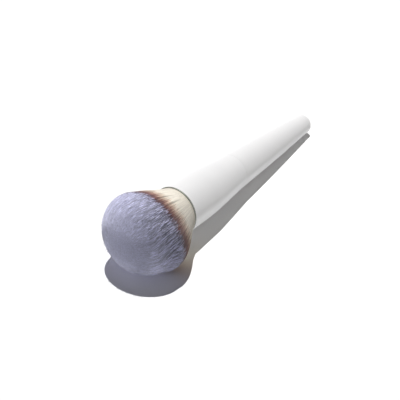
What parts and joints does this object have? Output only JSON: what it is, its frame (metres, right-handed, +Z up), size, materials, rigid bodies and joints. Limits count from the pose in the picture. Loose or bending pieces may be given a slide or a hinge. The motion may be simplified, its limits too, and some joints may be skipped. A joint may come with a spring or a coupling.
{
  "type": "buffing brush",
  "caption": "Round, dense, dome-headed make-up brush with a white ferrule and a long tapered white handle, lying on its side.",
  "frame": {"origin": "on the surface that the brush lies on, under the middle of its length", "axes": "+X along the lying brush from the tuft to the end of the handle, +Z up, +Y across"},
  "size_m": [0.1639, 0.0366, 0.0361],
  "materials": {
    "fibres": "dense synthetic fibres, ivory at the root, a brown band, lavender-grey tips",
    "resin": "cast resin",
    "ferrule_lacquer": "white satin lacquer over aluminium, bare at the mouth",
    "handle_lacquer": "white gloss lacquer over turned wood"
  },
  "bodies": {
    "root": {"bristle_tuft": "fibres", "resin_plug": "resin", "ferrule": "ferrule_lacquer", "tenon_glue": "resin", "handle": "handle_lacquer"}
  },
  "joints": []
}
